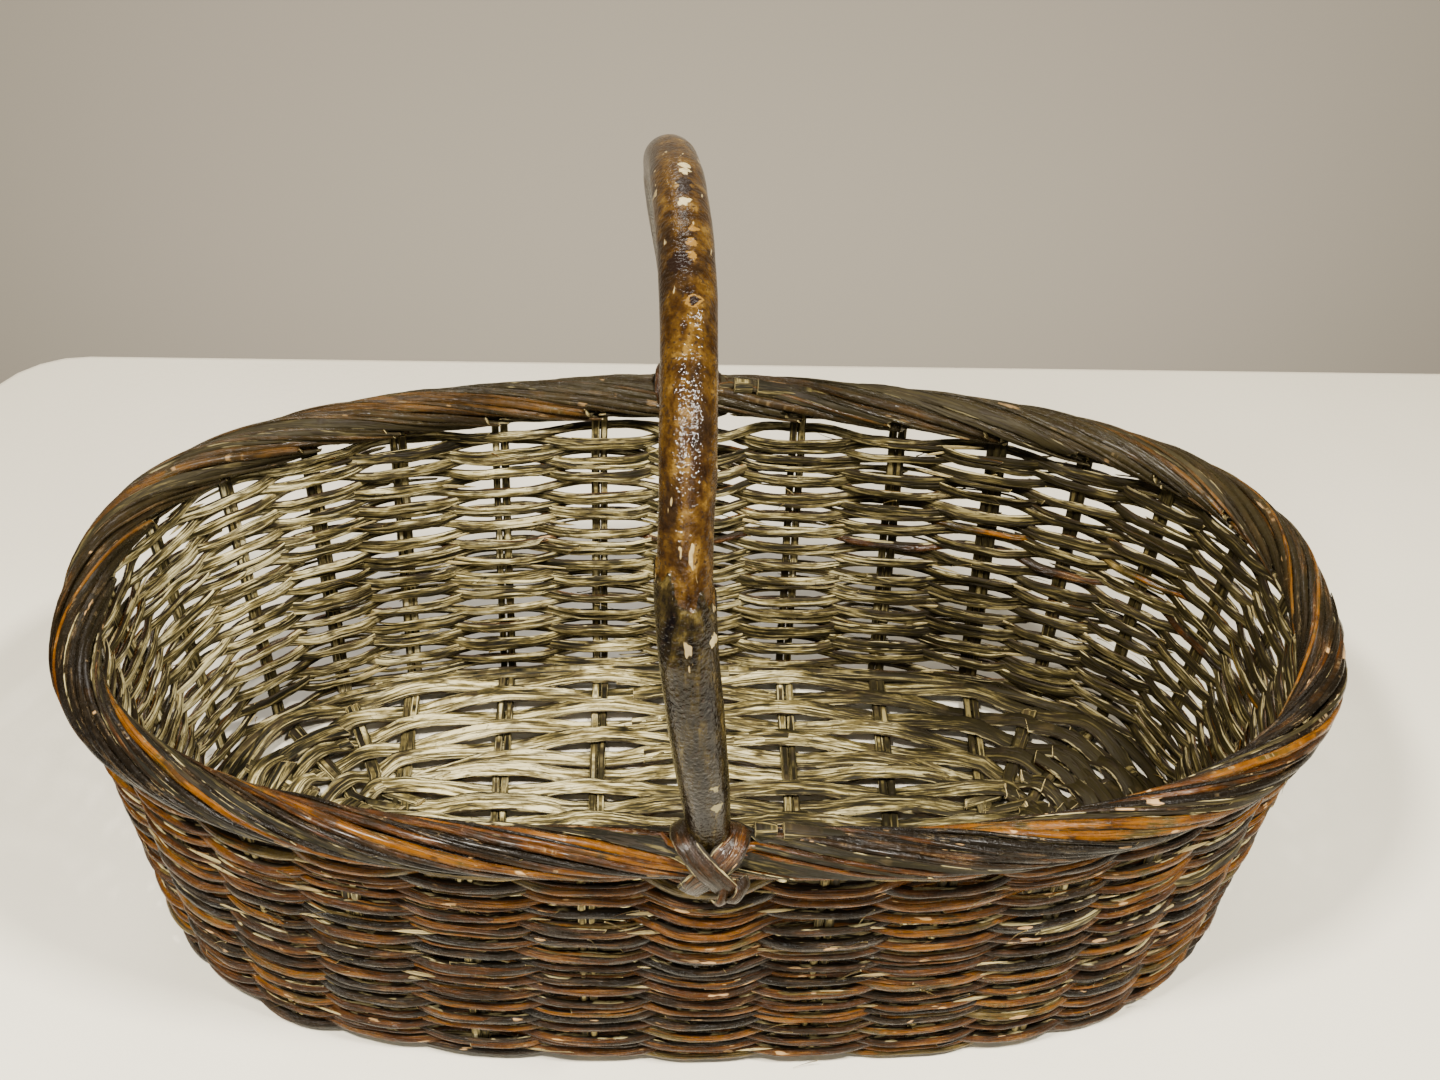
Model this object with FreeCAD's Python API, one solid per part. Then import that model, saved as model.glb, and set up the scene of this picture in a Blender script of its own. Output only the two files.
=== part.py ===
import FreeCAD
import Part
import math
import os

# Oval willow basket with a fixed hoop handle, in millimetres.
# Origin: on the resting plane, below the middle of the oval.
# +X runs along the long axis, -Y is the front, +Z is up.

# Overall size
RIM_LENGTH = 660.0
RIM_WIDTH = 356.0
RIM_TOP = 216.0
BASE_LENGTH = 584.0
BASE_WIDTH = 292.0
HANDLE_TOP = 444.0
RIM_EXPONENT = 2.5
BASE_EXPONENT = 2.9

# Stakes: the upright rods of the side, counted from the front middle
STAKE_COUNT = 30
SIDE_STAKES = 3
STAKE_PITCH = 57.0
STAKE_ROD = 4.2
STAKE_DEPTH = 4.6

# Side weave
ROW_COUNT = 9
ROW_BOTTOM = 15.0
ROW_TOP = 183.0
ROW_GAP = 0.6
ROW_THICK = 3.2
ROW_SWING = 4.4
ROW_SEGMENTS = 15

# Foot wale round the bottom edge
FOOT_HEIGHT = 14.0
FOOT_THICK = 11.0
FOOT_SEGMENTS = 15

# Rolled border
BORDER_ROD_RADIUS = 4.3
BORDER_CORE_RADIUS = 9.1
BORDER_SPAN = 3.0
BORDER_TURN = 6.0
BORDER_END_GAP = 0.03
BORDER_LIFT_AT_HANDLE = 5.0
BORDER_GROUPS = 10

# Base
CROSS_HEIGHT = 5.0
CROSS_BAR = 4.3
CROSS_BAR_GAP = 0.5
LATH_COUNT = 9
LATH_PITCH = 12.6
LATH_WIDTH = 9.4
LATH_THICK = 2.6
LATH_RISE = 2.9
LATH_LENGTH = 372.0
ROUND_ROWS = 6
ROUND_ROW_PITCH = 12.2
ROUND_ROW_WIDTH = 8.6
FAN_STICKS = 7

# Handle
BOW_RADIUS = 12.5
BOW_TIP_RADIUS = 5.0
BOW_FOOT_Z = 60.0
BOW_CLEARANCE = 0.6
BOW_ARCH = 152.0
BOW_SQUARENESS = 2.1
BOW_FOOT_FRONT_X = 0.0
BOW_FOOT_BACK_X = -7.0
# Sideways lean at each angle round the arch, front to back, in degrees and mm
BOW_LEANS = (
    (0, -7.5), (25, -14.3), (50, -14.0), (70, -13.7), (90, -15.5),
    (110, -18.5), (130, -21.5), (155, -20.3), (180, -13.0))
BAND_RADIUS = 2.2
BAND_SPREAD = 18.0
PEG_RADIUS = 6.0
PEG_LENGTH = 46.0

BORDER_RADIUS = BORDER_CORE_RADIUS + BORDER_ROD_RADIUS
WALL_HALF = ROW_SWING + ROW_THICK / 2


def oval_y(x, length, width, exponent):
    """Half-width of the oval at x."""
    part = max(0.0, 1.0 - abs(2.0 * x / length) ** exponent)
    return width / 2.0 * part ** (1.0 / exponent)


def end_curve(length, width, exponent):
    """Points round a quarter of the oval, from the last side stake to the tip."""
    start = math.asin(min(1.0, (SIDE_STAKES * STAKE_PITCH * 2.0 / length) ** (exponent / 2.0)))
    points = []
    steps = 400
    for step in range(steps + 1):
        angle = start + (math.pi / 2.0 - start) * step / steps
        x = length / 2.0 * math.sin(angle) ** (2.0 / exponent)
        y = width / 2.0 * max(0.0, math.cos(angle)) ** (2.0 / exponent)
        points.append((x, y))
    return points


def arc_lengths(points):
    """Running length along a list of points."""
    lengths = [0.0]
    for first, second in zip(points, points[1:]):
        lengths.append(lengths[-1] + math.dist(first, second))
    return lengths


class Oval:
    """A superellipse with positions counted in stakes from the front middle."""

    def __init__(self, length, width, exponent):
        self.length = length
        self.width = width
        self.exponent = exponent
        self.points = end_curve(length, width, exponent)
        self.lengths = arc_lengths(self.points)

    def quarter(self, stakes):
        """Positive x and y for a stake count between 0 and a quarter turn."""
        if stakes <= SIDE_STAKES:
            x = stakes * STAKE_PITCH
            return x, oval_y(x, self.length, self.width, self.exponent)
        quarter_turn = STAKE_COUNT / 4.0
        wanted = (stakes - SIDE_STAKES) / (quarter_turn - SIDE_STAKES) * self.lengths[-1]
        for index in range(1, len(self.lengths)):
            if self.lengths[index] >= wanted:
                break
        low = self.lengths[index - 1]
        share = (wanted - low) / max(1e-9, self.lengths[index] - low)
        x0, y0 = self.points[index - 1]
        x1, y1 = self.points[index]
        return x0 + (x1 - x0) * share, y0 + (y1 - y0) * share

    def at(self, stake):
        """Point on the oval, going round from the front towards +X."""
        stake = stake % STAKE_COUNT
        half = STAKE_COUNT / 2.0
        side = 1.0
        if stake > half:
            stake = STAKE_COUNT - stake
            side = -1.0
        back = -1.0
        if stake > half / 2.0:
            stake = half - stake
            back = 1.0
        x, y = self.quarter(stake)
        return side * x, back * y


RIM_OVAL = Oval(RIM_LENGTH - 2 * BORDER_RADIUS, RIM_WIDTH - 2 * BORDER_RADIUS, RIM_EXPONENT)
BASE_OVAL = Oval(BASE_LENGTH - 2 * WALL_HALF, BASE_WIDTH - 2 * WALL_HALF, BASE_EXPONENT)


def wall_point(stake, z):
    """Middle of the side wall at a stake position and height."""
    share = z / (RIM_TOP - BORDER_RADIUS)
    bx, by = BASE_OVAL.at(stake)
    rx, ry = RIM_OVAL.at(stake)
    return FreeCAD.Vector(bx + (rx - bx) * share, by + (ry - by) * share, z)


def wall_normal(stake, z):
    """Level outward direction of the wall."""
    ahead = wall_point(stake + 0.05, z)
    behind = wall_point(stake - 0.05, z)
    along = ahead.sub(behind)
    normal = FreeCAD.Vector(along.y, -along.x, 0.0)
    normal.normalize()
    return normal


def border_height(stake):
    """Height of the border's centre line, a little higher at the handle feet."""
    half = STAKE_COUNT / 2.0
    offset = (stake + half / 2.0) % half - half / 2.0
    return RIM_TOP - BORDER_RADIUS - BORDER_LIFT_AT_HANDLE + (
        BORDER_LIFT_AT_HANDLE * math.exp(-(offset / 1.6) ** 2))


def export(name, shapes):
    """Write one node as a STEP file."""
    shape = shapes[0] if len(shapes) == 1 else Part.makeCompound(shapes)
    shape.exportStep("parts/" + name + ".step")


def curve_through(points):
    """Smooth edge through a list of points."""
    spline = Part.BSplineCurve()
    spline.interpolate(points)
    return spline.toShape()


def band_segment(z_low, z_high, stake_from, stake_to, offset_at, thickness, per_stake=4):
    """Upright strip that follows the wall at a changing distance from its middle."""
    steps = max(4, int(round((stake_to - stake_from) * per_stake)))
    z_mid = (z_low + z_high) / 2.0
    outer = []
    inner = []
    for step in range(steps + 1):
        stake = stake_from + (stake_to - stake_from) * step / steps
        middle = wall_point(stake, z_mid)
        middle.z = z_low
        normal = wall_normal(stake, z_mid)
        offset = offset_at(stake)
        outer.append(middle + normal * (offset + thickness / 2.0))
        inner.append(middle + normal * (offset - thickness / 2.0))
    edges = [
        curve_through(outer),
        Part.LineSegment(outer[-1], inner[-1]).toShape(),
        curve_through(inner[::-1]),
        Part.LineSegment(inner[0], outer[0]).toShape(),
    ]
    face = Part.Face(Part.Wire(edges))
    return face.extrude(FreeCAD.Vector(0, 0, z_high - z_low))


def make_weave_row(row):
    """One row of the side weave, passing outside every second stake."""
    height = (ROW_TOP - ROW_BOTTOM) / ROW_COUNT
    z_low = ROW_BOTTOM + row * height
    z_high = z_low + height - ROW_GAP
    side = 1.0 if row % 2 == 0 else -1.0
    span = STAKE_COUNT / ROW_SEGMENTS
    start = 0.5 + row * 2.0
    shapes = []
    for segment in range(ROW_SEGMENTS):
        first = start + segment * span
        shapes.append(band_segment(
            z_low, z_high, first, first + span - 0.03,
            lambda stake: side * ROW_SWING * math.cos(math.pi * stake), ROW_THICK))
    return shapes


def make_foot_wale():
    """Thick strip round the bottom edge that the basket stands on."""
    span = STAKE_COUNT / FOOT_SEGMENTS
    shapes = []
    for segment in range(FOOT_SEGMENTS):
        first = segment * span + 0.5
        shapes.append(band_segment(
            0.0, FOOT_HEIGHT, first, first + span - 0.03, lambda stake: 0.0, FOOT_THICK))
    return shapes


def make_stake(stake):
    """Pair of upright rods in the wall."""
    low = wall_point(stake, FOOT_HEIGHT + 0.4)
    high = wall_point(stake, ROW_TOP - 1.0)
    along = wall_point(stake + 0.05, FOOT_HEIGHT).sub(wall_point(stake - 0.05, FOOT_HEIGHT))
    along.normalize()
    normal = wall_normal(stake, FOOT_HEIGHT)
    rods = []
    for side in (-1.0, 1.0):
        shift = along * (side * (STAKE_ROD / 2.0 + 0.2))
        corners = []
        for across, depth in ((-1, -1), (1, -1), (1, 1), (-1, 1)):
            corners.append(low + shift + along * (across * STAKE_ROD / 2.0)
                           + normal * (depth * STAKE_DEPTH / 2.0))
        face = Part.Face(Part.makePolygon(corners + [corners[0]]))
        rods.append(face.extrude(high.sub(low)))
    return rods


def sweep_round(points, radius):
    """Round rod along a smooth path."""
    path = Part.Wire([curve_through(points)])
    direction = points[1].sub(points[0])
    section = Part.Wire([Part.makeCircle(radius, points[0], direction)])
    return path.makePipeShell([section], True, True)


def border_rod(start, strand):
    """One rod of the rolled border, half a turn round the rope."""
    steps = 12
    first = start + BORDER_END_GAP
    last = start + BORDER_SPAN - BORDER_END_GAP
    points = []
    for step in range(steps + 1):
        stake = first + (last - first) * step / steps
        turn = 2.0 * math.pi * (stake - strand) / BORDER_TURN - 0.6
        centre = wall_point(stake, RIM_TOP - BORDER_RADIUS)
        centre.z = border_height(stake)
        normal = wall_normal(stake, RIM_TOP - BORDER_RADIUS)
        points.append(centre - normal * (BORDER_CORE_RADIUS * math.cos(turn))
                      + FreeCAD.Vector(0, 0, BORDER_CORE_RADIUS * math.sin(turn)))
    return sweep_round(points, BORDER_ROD_RADIUS)


def bow_path():
    """Centre line of the handle from the front tip over the top to the back tip."""
    half_span = RIM_WIDTH / 2.0 - BORDER_RADIUS
    arch_z = HANDLE_TOP - BOW_RADIUS - BOW_ARCH
    front_tip = wall_point(0.0, BOW_FOOT_Z)
    front_wall = wall_point(0.0, 130.0)
    back_wall = wall_point(STAKE_COUNT / 2.0, 130.0)
    back_tip = wall_point(STAKE_COUNT / 2.0, BOW_FOOT_Z)
    points = [
        FreeCAD.Vector(BOW_FOOT_FRONT_X, front_tip.y, front_tip.z),
        FreeCAD.Vector(BOW_FOOT_FRONT_X, front_wall.y, front_wall.z),
        FreeCAD.Vector(BOW_FOOT_FRONT_X - 1.0, -half_span, RIM_TOP)]
    for angle, lean in BOW_LEANS:
        turn = math.radians(angle)
        squareness = (abs(math.cos(turn)) ** BOW_SQUARENESS
                      + math.sin(turn) ** BOW_SQUARENESS) ** (1 / BOW_SQUARENESS)
        points.append(FreeCAD.Vector(
            lean,
            -half_span * math.cos(turn) / squareness,
            arch_z + BOW_ARCH * math.sin(turn) / squareness))
    points += [
        FreeCAD.Vector(BOW_FOOT_BACK_X - 1.0, half_span, RIM_TOP),
        FreeCAD.Vector(BOW_FOOT_BACK_X, back_wall.y, back_wall.z),
        FreeCAD.Vector(BOW_FOOT_BACK_X, back_tip.y, back_tip.z)]
    return points


def bow_radius(z):
    """Rod radius at a height: full above the border, thinner down in the side."""
    if z >= RIM_TOP + 16.0:
        return BOW_RADIUS
    share = (z - BOW_FOOT_Z) / (RIM_TOP + 16.0 - BOW_FOOT_Z)
    return BOW_TIP_RADIUS + (BOW_RADIUS - BOW_TIP_RADIUS) * share ** 1.6


def bow_loft(first_share, last_share, extra):
    """Round rod through sections along a stretch of the handle's centre line."""
    spline = Part.BSplineCurve()
    spline.interpolate(bow_path())
    sections = []
    steps = max(10, int(56 * (last_share - first_share)))
    for step in range(steps + 1):
        share = first_share + (last_share - first_share) * step / steps
        parameter = spline.FirstParameter + share * (spline.LastParameter - spline.FirstParameter)
        centre = spline.value(parameter)
        tangent = FreeCAD.Vector(*spline.tangent(parameter)[0])
        level = FreeCAD.Vector(1, 0, 0) - tangent * tangent.x
        level.normalize()
        other = tangent.cross(level)
        radius = bow_radius(centre.z) + extra
        ring = []
        for corner in range(10):
            turn = 2.0 * math.pi * corner / 10
            ring.append(centre + level * (radius * math.cos(turn)) + other * (radius * math.sin(turn)))
        circle = Part.BSplineCurve()
        circle.interpolate(ring, PeriodicFlag=True)
        sections.append(Part.Wire([circle.toShape()]))
    return Part.makeLoft(sections, True)


def handle_clearance():
    """Space kept free for the legs where they pass the border and the weave."""
    return Part.makeCompound([
        bow_loft(0.0, 0.24, BOW_CLEARANCE), bow_loft(0.76, 1.0, BOW_CLEARANCE)])


def cut_free(shape, clearance):
    """Solids left after the handle space is taken away."""
    if not shape.BoundBox.intersect(clearance.BoundBox):
        return [shape]
    left = shape.cut(clearance)
    return [solid for solid in left.Solids if solid.Volume > 150.0]


def make_lashing(stake, side):
    """Two willow bands crossing over the border on the outside of a handle foot."""
    centre = wall_point(stake, RIM_TOP - BORDER_RADIUS)
    centre.z = border_height(stake)
    centre.x = BOW_FOOT_FRONT_X if side < 0 else BOW_FOOT_BACK_X
    radius = BORDER_RADIUS + BAND_RADIUS + 2.4
    bands = []
    for lean in (-1.0, 1.0):
        points = []
        for step in range(15):
            angle = -70.0 + 285.0 * step / 14.0
            turn = math.radians(angle)
            swing = math.sin(math.radians((angle - 20.0) * 90.0 / 70.0))
            reach = BAND_SPREAD if angle > 20.0 else BAND_SPREAD / 2.0
            push = radius + lean * (BAND_RADIUS + 0.2)
            points.append(FreeCAD.Vector(
                centre.x + lean * reach * swing,
                centre.y + side * push * math.cos(turn),
                centre.z + push * math.sin(turn)))
        bands.append(sweep_round(points, BAND_RADIUS))
    return bands


def make_peg(stake, shift):
    """Short cut stub beside a handle foot, lying on the border."""
    side = -1.0 if stake == 0.0 else 1.0
    centre = wall_point(stake, RIM_TOP - BORDER_RADIUS)
    start = FreeCAD.Vector(centre.x + shift, centre.y - side * 8.0, RIM_TOP - BORDER_RADIUS + 4.0)
    direction = FreeCAD.Vector(1.0, -side * 0.05, -0.12)
    return Part.makeCylinder(PEG_RADIUS, PEG_LENGTH, start, direction)


def make_cross_stick(index):
    """Pair of flat bars across the base, standing on the table."""
    x = index * STAKE_PITCH
    half = oval_y(x, BASE_LENGTH, BASE_WIDTH, BASE_EXPONENT) - FOOT_THICK - 3.0
    shapes = []
    for side in (-1.0, 1.0):
        left = x + side * (CROSS_BAR + CROSS_BAR_GAP) / 2.0 - CROSS_BAR / 2.0
        shapes.append(Part.makeBox(
            CROSS_BAR, 2.0 * half, CROSS_HEIGHT, FreeCAD.Vector(left, -half, 0.0)))
    return shapes


def lath_height(x, side):
    """Height of a lath's underside as it rides over or beside the cross sticks."""
    return CROSS_HEIGHT + 0.3 + LATH_RISE * (1.0 + side * math.cos(math.pi * x / STAKE_PITCH)) / 2.0


def make_lath(index):
    """Flat lengthwise lath of the middle panel."""
    side = 1.0 if index % 2 == 0 else -1.0
    y = (index - (LATH_COUNT - 1) / 2.0) * LATH_PITCH
    half = LATH_LENGTH / 2.0 - (6.0 if index % 3 == 1 else 0.0)
    low = []
    high = []
    steps = 26
    for step in range(steps + 1):
        x = -half + 2.0 * half * step / steps
        z = lath_height(x, side)
        low.append(FreeCAD.Vector(x, y - LATH_WIDTH / 2.0, z))
        high.append(FreeCAD.Vector(x, y - LATH_WIDTH / 2.0, z + LATH_THICK))
    edges = [
        curve_through(low),
        Part.LineSegment(low[-1], high[-1]).toShape(),
        curve_through(high[::-1]),
        Part.LineSegment(high[0], low[0]).toShape(),
    ]
    face = Part.Face(Part.Wire(edges))
    return face.extrude(FreeCAD.Vector(0, LATH_WIDTH, 0))


def make_round_row(row, end):
    """Flat rod that runs round one end of the base, outside the laths."""
    inset = FOOT_THICK + 4.0 + row * ROUND_ROW_PITCH
    oval = Oval(BASE_LENGTH - 2 * inset, BASE_WIDTH - 2 * inset, BASE_EXPONENT - 0.12 * row)
    inner = Oval(oval.length - 2 * ROUND_ROW_WIDTH, oval.width - 2 * ROUND_ROW_WIDTH,
                 oval.exponent)
    first = 0.06
    last = STAKE_COUNT / 2.0 - 0.06
    outer_points = []
    inner_points = []
    steps = 40
    z = CROSS_HEIGHT + 0.4
    for step in range(steps + 1):
        stake = first + (last - first) * step / steps
        ox, oy = oval.at(stake)
        ix, iy = inner.at(stake)
        outer_points.append(FreeCAD.Vector(end * ox, oy, z))
        inner_points.append(FreeCAD.Vector(end * ix, iy, z))
    edges = [
        curve_through(outer_points),
        Part.LineSegment(outer_points[-1], inner_points[-1]).toShape(),
        curve_through(inner_points[::-1]),
        Part.LineSegment(inner_points[0], outer_points[0]).toShape(),
    ]
    face = Part.Face(Part.Wire(edges))
    return face.extrude(FreeCAD.Vector(0, 0, LATH_THICK))


def make_fan(end):
    """Sticks that spread from the middle panel towards one end of the base."""
    shapes = []
    for index in range(FAN_STICKS):
        share = (index - (FAN_STICKS - 1) / 2.0) / ((FAN_STICKS - 1) / 2.0)
        angle = math.radians(64.0) * share
        start = FreeCAD.Vector(end * 192.0, 46.0 * share, 0.0)
        reach = oval_y(start.x + end * 40.0 * math.cos(angle), BASE_LENGTH, BASE_WIDTH, BASE_EXPONENT)
        length = min(BASE_LENGTH / 2.0 - 192.0 - 17.0, (reach - abs(start.y) - 26.0)
                     / max(0.2, abs(math.sin(angle))))
        bar = Part.makeBox(length, 6.0, CROSS_HEIGHT, FreeCAD.Vector(0, -3.0, 0))
        turn = math.degrees(angle) if end > 0 else 180.0 - math.degrees(angle)
        bar.rotate(FreeCAD.Vector(0, 0, 0), FreeCAD.Vector(0, 0, 1), turn)
        bar.translate(start)
        shapes.append(bar)
    return shapes


def build():
    """Make and export every piece."""
    os.makedirs("parts", exist_ok=True)
    clearance = handle_clearance()
    export("handle_bow", [bow_loft(0.0, 1.0, 0.0)])
    export("handle_lashing_front", make_lashing(0.0, -1.0))
    export("handle_lashing_back", make_lashing(STAKE_COUNT / 2.0, 1.0))
    export("handle_peg_front", [make_peg(0.0, 20.0)])
    export("handle_peg_back", [make_peg(STAKE_COUNT / 2.0, 26.0)])
    for group in range(BORDER_GROUPS):
        shapes = []
        for strand in range(group, STAKE_COUNT, BORDER_GROUPS):
            for start in (strand, strand + BORDER_SPAN):
                shapes += cut_free(border_rod(start, strand), clearance)
        export("border_rods_%02d" % (group + 1), shapes)
    for row in range(ROW_COUNT):
        shapes = []
        for segment in make_weave_row(row):
            shapes += cut_free(segment, clearance)
        export("weave_row_%02d" % (row + 1), shapes)
    groups = {
        "stakes_front": [27, 28, 29, 1, 2, 3],
        "stakes_right_end": list(range(4, 12)),
        "stakes_back": [12, 13, 14, 16, 17, 18],
        "stakes_left_end": list(range(19, 27)),
    }
    for name, stakes in groups.items():
        rods = []
        for stake in stakes:
            rods += make_stake(stake)
        export(name, rods)
    export("foot_wale", make_foot_wale())
    sticks = []
    for index in range(-SIDE_STAKES, SIDE_STAKES + 1):
        sticks += make_cross_stick(index)
    export("base_cross_sticks", sticks)
    export("base_laths", [make_lath(index) for index in range(LATH_COUNT)])
    export("base_fan_right", make_fan(1.0))
    export("base_fan_left", make_fan(-1.0))
    export("base_rows_right", [make_round_row(row, 1.0) for row in range(ROUND_ROWS)])
    export("base_rows_left", [make_round_row(row, -1.0) for row in range(ROUND_ROWS)])


build()
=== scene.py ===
import bpy
import math
import numpy as np
from mathutils import Matrix


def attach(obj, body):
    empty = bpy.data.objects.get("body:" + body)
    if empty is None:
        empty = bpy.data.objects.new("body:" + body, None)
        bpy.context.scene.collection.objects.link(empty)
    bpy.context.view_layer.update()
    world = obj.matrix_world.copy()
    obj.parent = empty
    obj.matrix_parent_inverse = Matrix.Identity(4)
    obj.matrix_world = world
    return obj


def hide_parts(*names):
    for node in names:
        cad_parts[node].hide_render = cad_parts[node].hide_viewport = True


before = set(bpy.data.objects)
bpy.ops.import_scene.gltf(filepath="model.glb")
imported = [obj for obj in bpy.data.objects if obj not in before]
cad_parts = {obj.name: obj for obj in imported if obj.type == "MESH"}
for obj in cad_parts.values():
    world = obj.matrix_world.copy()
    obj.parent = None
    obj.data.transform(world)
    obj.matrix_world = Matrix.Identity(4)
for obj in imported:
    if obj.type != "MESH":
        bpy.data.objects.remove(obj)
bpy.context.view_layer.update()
rng = np.random.default_rng(11)

# Sizes in metres, the same as the CAD part
RIM_LENGTH = 0.660
RIM_WIDTH = 0.356
RIM_TOP = 0.216
BASE_LENGTH = 0.584
BASE_WIDTH = 0.292
HANDLE_TOP = 0.444
RIM_EXPONENT = 2.5
BASE_EXPONENT = 2.9
STAKE_COUNT = 30
SIDE_STAKES = 3
STAKE_PITCH = 0.057
ROW_BOTTOM = 0.015
ROW_TOP = 0.183
CAD_ROWS = 9
RODS_PER_ROW = 3
SWING = 0.0044
BORDER_RADIUS = 0.0134
BORDER_LIFT = 0.005
WALL_HALF = 0.006
BOW_RADIUS = 0.0125
BOW_FOOT_Z = 0.060
BOW_ARCH = 0.152
BOW_SQUARENESS = 2.1
ARCH_MIDDLE_Z = HANDLE_TOP - BOW_RADIUS - BOW_ARCH
BOW_FRONT_X = 0.0
BOW_BACK_X = -0.007
FRONT_STAKE = 0.0
BACK_STAKE = 15.0
PEG_FRONT_X = 0.020
PEG_BACK_X = BOW_BACK_X + 0.026
SLEEVE_TOP = 0.351
# Sideways lean at each angle round the arch, front to back, in degrees and metres
BOW_LEANS = (
    (0, -0.0075), (25, -0.0143), (50, -0.0140), (70, -0.0137), (90, -0.0155),
    (110, -0.0185), (130, -0.0215), (155, -0.0203), (180, -0.0130))
# Height and radius of the front leg under its bark sleeve, and of the rest of the rod
SLEEVE_RADII = (
    (0.060, 0.0050), (0.130, 0.0072), (0.205, 0.0094), (0.240, 0.0106),
    (0.270, 0.0116), (0.313, 0.0124), (0.360, 0.0129))
BOW_RADII = ((0.060, 0.0050), (0.130, 0.0072), (0.216, 0.0098), (0.355, 0.0113), (0.440, 0.0124))
LATH_COUNT = 9
LATH_PITCH = 0.0126
LATH_LENGTH = 0.372
ROUND_ROWS = 6
ROUND_ROW_PITCH = 0.0122
BASE_MID_Z = 0.0060
BASE_SWING = 0.0035
THIN_ROW_PITCH = (ROW_TOP - ROW_BOTTOM) / (CAD_ROWS * RODS_PER_ROW)
# Where the camera stands, and its yaw, pitch and roll in degrees
CAMERA_PLACE = (-0.0345, -0.789, 0.9868)
CAMERA_TURNS = (2.98, 43.2, 2.6)
CAMERA_LENS = 54.15
# Two opposite corners of the room's back wall
WALL_LOW = (-12.0, 2.40, -2.6)
WALL_HIGH = (12.0, 2.45, 4.0)
LIGHT_TARGET = (0, 0, 0.1)
UP = np.array([0.0, 0.0, 1.0])


# ---------------------------------------------------------------- shapes

class Oval:
    """A superellipse with positions counted in stakes from the front middle."""

    def __init__(self, length, width, exponent):
        side = np.linspace(0, SIDE_STAKES, 40)
        side_x = side * STAKE_PITCH
        side_y = width / 2 * np.maximum(0, 1 - (2 * side_x / length) ** exponent) ** (1 / exponent)
        start = math.asin(min(1, (2 * SIDE_STAKES * STAKE_PITCH / length) ** (exponent / 2)))
        angle = np.linspace(start, math.pi / 2, 400)
        end_x = length / 2 * np.sin(angle) ** (2 / exponent)
        end_y = width / 2 * np.maximum(0, np.cos(angle)) ** (2 / exponent)
        run = np.concatenate([[0], np.cumsum(np.hypot(np.diff(end_x), np.diff(end_y)))])
        quarter_turn = STAKE_COUNT / 4
        end = SIDE_STAKES + (quarter_turn - SIDE_STAKES) * run / run[-1]
        self.stakes = np.concatenate([side[:-1], end])
        self.x = np.concatenate([side_x[:-1], end_x])
        self.y = np.concatenate([side_y[:-1], end_y])

    def at(self, stake):
        """Points on the oval, going round from the front towards +X."""
        stake = np.mod(stake, STAKE_COUNT)
        half = STAKE_COUNT / 2
        side = np.where(stake > half, -1.0, 1.0)
        stake = np.where(stake > half, STAKE_COUNT - stake, stake)
        back = np.where(stake > half / 2, 1.0, -1.0)
        stake = np.where(stake > half / 2, half - stake, stake)
        return side * np.interp(stake, self.stakes, self.x), back * np.interp(stake, self.stakes, self.y)


RIM_OVAL = Oval(RIM_LENGTH - 2 * BORDER_RADIUS, RIM_WIDTH - 2 * BORDER_RADIUS, RIM_EXPONENT)
BASE_OVAL = Oval(BASE_LENGTH - 2 * WALL_HALF, BASE_WIDTH - 2 * WALL_HALF, BASE_EXPONENT)


def wall_point(stake, z):
    """Middle of the side wall at a stake position and height."""
    share = z / (RIM_TOP - BORDER_RADIUS)
    base_x, base_y = BASE_OVAL.at(stake)
    rim_x, rim_y = RIM_OVAL.at(stake)
    x = base_x + (rim_x - base_x) * share
    y = base_y + (rim_y - base_y) * share
    return np.stack([x, y, z + 0 * x], axis=-1)


def unit(vectors):
    """Vectors scaled to length one."""
    return vectors / np.maximum(1e-12, np.linalg.norm(vectors, axis=-1, keepdims=True))


def wall_normal(stake, z):
    """Level outward direction of the wall."""
    along = wall_point(stake + 0.08, z) - wall_point(stake - 0.08, z)
    return unit(np.stack([along[..., 1], -along[..., 0], 0 * along[..., 0]], axis=-1))


def wander(values, size, waves=5, longest=9.0, shortest=1.3):
    """Smooth random change along a row, made of a few sine waves."""
    total = np.zeros_like(values)
    for wave in range(waves):
        period = longest * (shortest / longest) ** (wave / max(1, waves - 1))
        total += math.sqrt(period / longest) * np.sin(
            2 * math.pi * values / (period * rng.uniform(0.8, 1.25)) + rng.uniform(0, 6.28))
    return size * total / math.sqrt(waves)


def smooth_path(points, count):
    """Even points along a smooth curve through a few given points."""
    points = np.asarray(points, float)
    padded = np.vstack([2 * points[0] - points[1], points, 2 * points[-1] - points[-2]])
    rows = []
    for index in range(1, len(padded) - 2):
        before, first, second, after = padded[index - 1:index + 3]
        t = np.linspace(0, 1, 40, endpoint=False)[:, None]
        rows.append(0.5 * (2 * first + (second - before) * t
                           + (2 * before - 5 * first + 4 * second - after) * t ** 2
                           + (3 * first - before - 3 * second + after) * t ** 3))
    dense = np.vstack(rows + [points[-1:]])
    run = np.concatenate([[0], np.cumsum(np.linalg.norm(np.diff(dense, axis=0), axis=1))])
    even = np.linspace(0, run[-1], count)
    return np.stack([np.interp(even, run, dense[:, axis]) for axis in range(3)], axis=1)


# Cross-sections: across, outward, bark (1 on bark, 0 on the split face)
def round_section(corners=10):
    """Whole rod, bark all round."""
    turn = np.arange(corners) * 2 * math.pi / corners
    return np.stack([np.cos(turn), np.sin(turn), np.ones(corners)], axis=1)


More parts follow.
